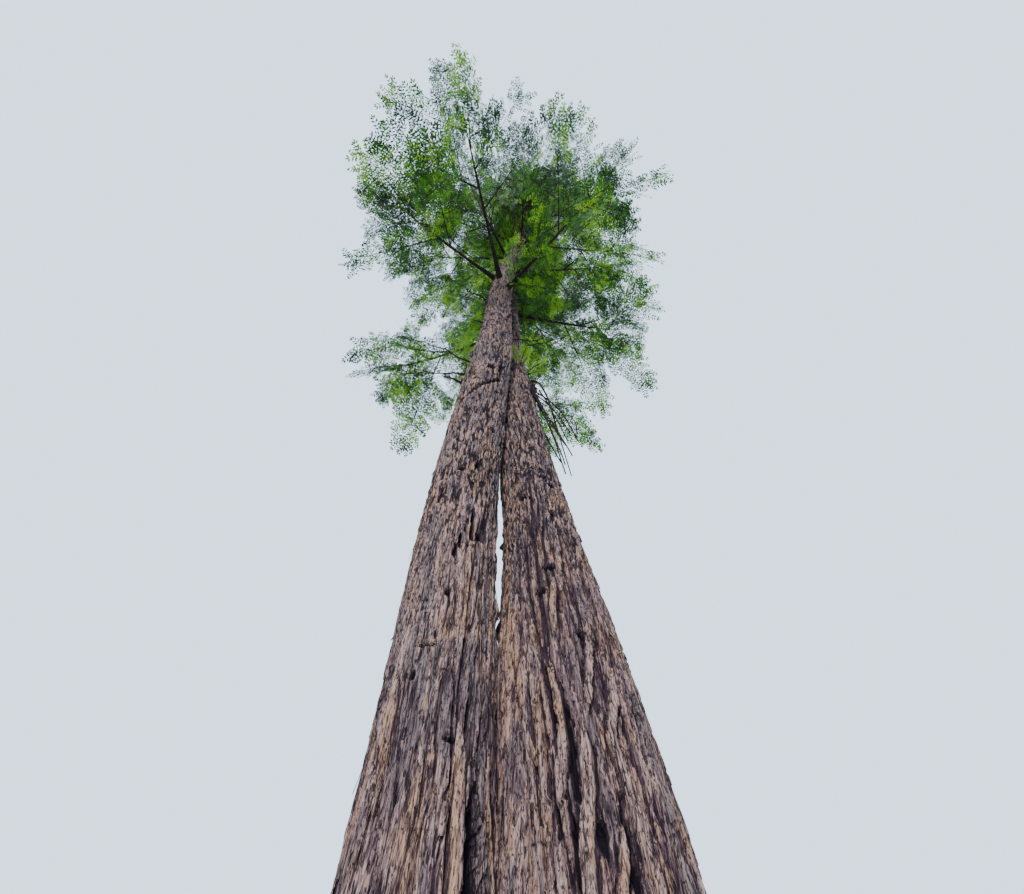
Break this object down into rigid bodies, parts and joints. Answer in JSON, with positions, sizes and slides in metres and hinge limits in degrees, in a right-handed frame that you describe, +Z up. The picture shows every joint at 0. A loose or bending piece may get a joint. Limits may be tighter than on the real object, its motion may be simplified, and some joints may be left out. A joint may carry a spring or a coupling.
{
  "type": "twin-stemmed redwood tree",
  "caption": "Tall redwood tree: stems that rise from one flared root crown, boughs, hanging masses of foliage, and a flat ground cut under the root crown.",
  "frame": {"origin": "middle of the flat ground cut under the root crown, at ground level", "axes": "+Z up along the stems, +X to the right and +Y away from the viewer of the picture, so the left stem stands at -X and in front of the right one"},
  "size_m": [9.6855, 11.7061, 39.99],
  "materials": {
    "bark": "rough fibrous bark",
    "dead_wood": "dry bare wood",
    "foliage": "needle sprays"
  },
  "bodies": {
    "root": {"root_crown": "bark", "stem_left": "bark", "stem_right": "bark", "bough_01": "bark", "bough_02": "bark", "bough_03": "bark", "bough_04": "bark", "bough_05": "bark", "bough_06": "bark", "bough_07": "bark", "bough_08": "bark", "bough_09": "bark", "bough_10": "bark", "bough_11": "bark", "bough_12": "bark", "bough_13": "bark", "bough_14": "bark", "bough_15": "bark", "bough_16": "bark", "bough_17": "bark", "bough_18": "bark", "bough_19": "bark", "bough_20": "bark", "bough_21": "bark", "bough_22": "bark", "bough_23": "bark", "dead_limb": "dead_wood", "foliage_01": "foliage", "foliage_02": "foliage", "foliage_03": "foliage", "foliage_04": "foliage", "foliage_05": "foliage", "foliage_06": "foliage", "foliage_07": "foliage", "foliage_08": "foliage", "foliage_09": "foliage", "foliage_10": "foliage", "foliage_11": "foliage", "foliage_12": "foliage", "foliage_13": "foliage", "foliage_14": "foliage", "foliage_15": "foliage", "foliage_16": "foliage", "foliage_17": "foliage", "foliage_18": "foliage", "foliage_19": "foliage", "foliage_20": "foliage", "foliage_21": "foliage", "foliage_22": "foliage", "foliage_23": "foliage", "foliage_24": "foliage", "foliage_25": "foliage", "foliage_26": "foliage", "foliage_27": "foliage", "foliage_28": "foliage", "foliage_29": "foliage", "foliage_30": "foliage", "foliage_31": "foliage", "foliage_left_top": "foliage", "foliage_right_top": "foliage"}
  },
  "joints": []
}
